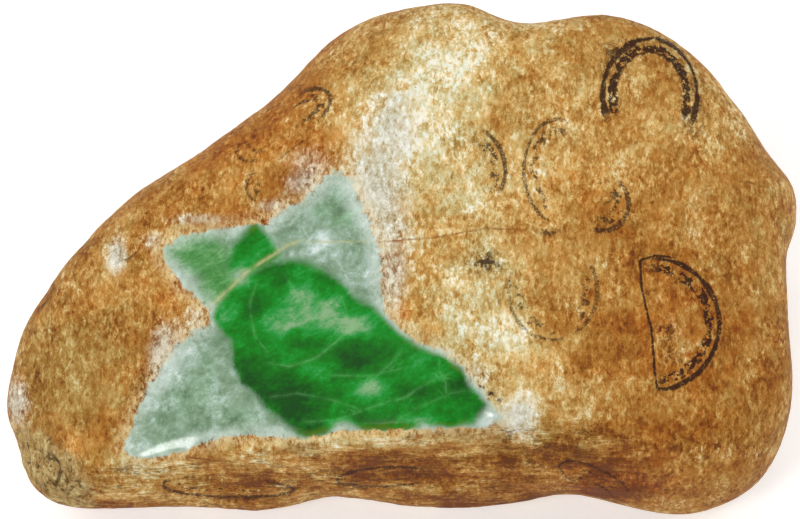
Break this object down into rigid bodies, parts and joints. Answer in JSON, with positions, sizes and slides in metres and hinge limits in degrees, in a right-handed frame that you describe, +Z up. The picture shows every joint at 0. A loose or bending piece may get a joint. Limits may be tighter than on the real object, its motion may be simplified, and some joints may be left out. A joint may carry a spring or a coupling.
{
  "type": "raw jade boulder",
  "caption": "Water-worn jadeite boulder lying flat, with a brown weathered rind and a ground, polished window of green and pale jade.",
  "frame": {"origin": "middle of the bounding box, on the surface that the stone lies on", "axes": "+X along the stone's length, +Y up the slope of its broad face, away from the steep front wall, +Z up"},
  "size_m": [0.3602, 0.2268, 0.1364],
  "materials": {
    "jade_stone": "grainy matte brown rind with cream patches, and one polished window of mottled green and grey-white jade"
  },
  "bodies": {
    "root": {"boulder": "jade_stone"}
  },
  "joints": []
}
